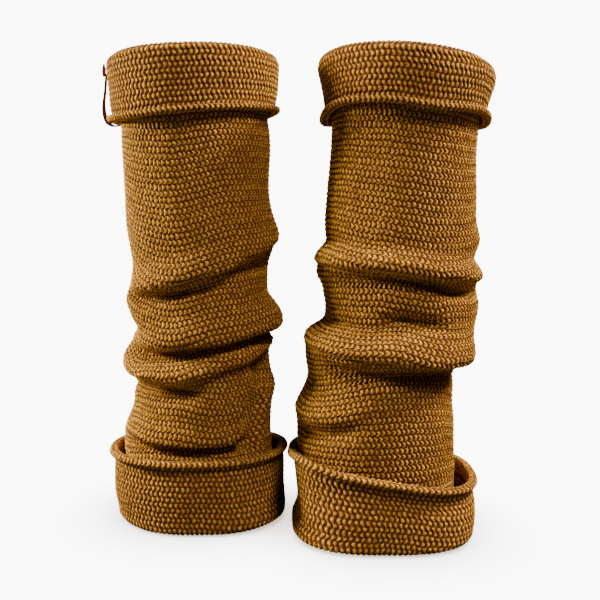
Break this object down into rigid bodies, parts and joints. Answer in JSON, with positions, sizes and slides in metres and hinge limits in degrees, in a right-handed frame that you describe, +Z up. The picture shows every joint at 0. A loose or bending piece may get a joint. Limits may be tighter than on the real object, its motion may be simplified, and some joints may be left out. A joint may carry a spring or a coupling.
{
  "type": "pair of leg warmers",
  "caption": "Slouched knitted leg warmers standing open on a surface, both ends turned back as deep cuffs, with a narrow lace on one top cuff.",
  "frame": {"origin": "centre of the pair's bounding box, at the surface it stands on", "axes": "+Z up, +X to the picture's right, -Y towards the picture's camera"},
  "size_m": [0.3092, 0.1747, 0.3756],
  "materials": {
    "ochre_knit": "soft wool knit",
    "oxblood_leather": "smooth"
  },
  "bodies": {
    "root": {"left_tube": "ochre_knit", "left_top_cuff": "ochre_knit", "left_bottom_cuff": "ochre_knit", "right_tube": "ochre_knit", "right_top_cuff": "ochre_knit", "right_bottom_cuff": "ochre_knit", "left_lace_1": "oxblood_leather", "left_lace_2": "oxblood_leather"}
  },
  "joints": []
}
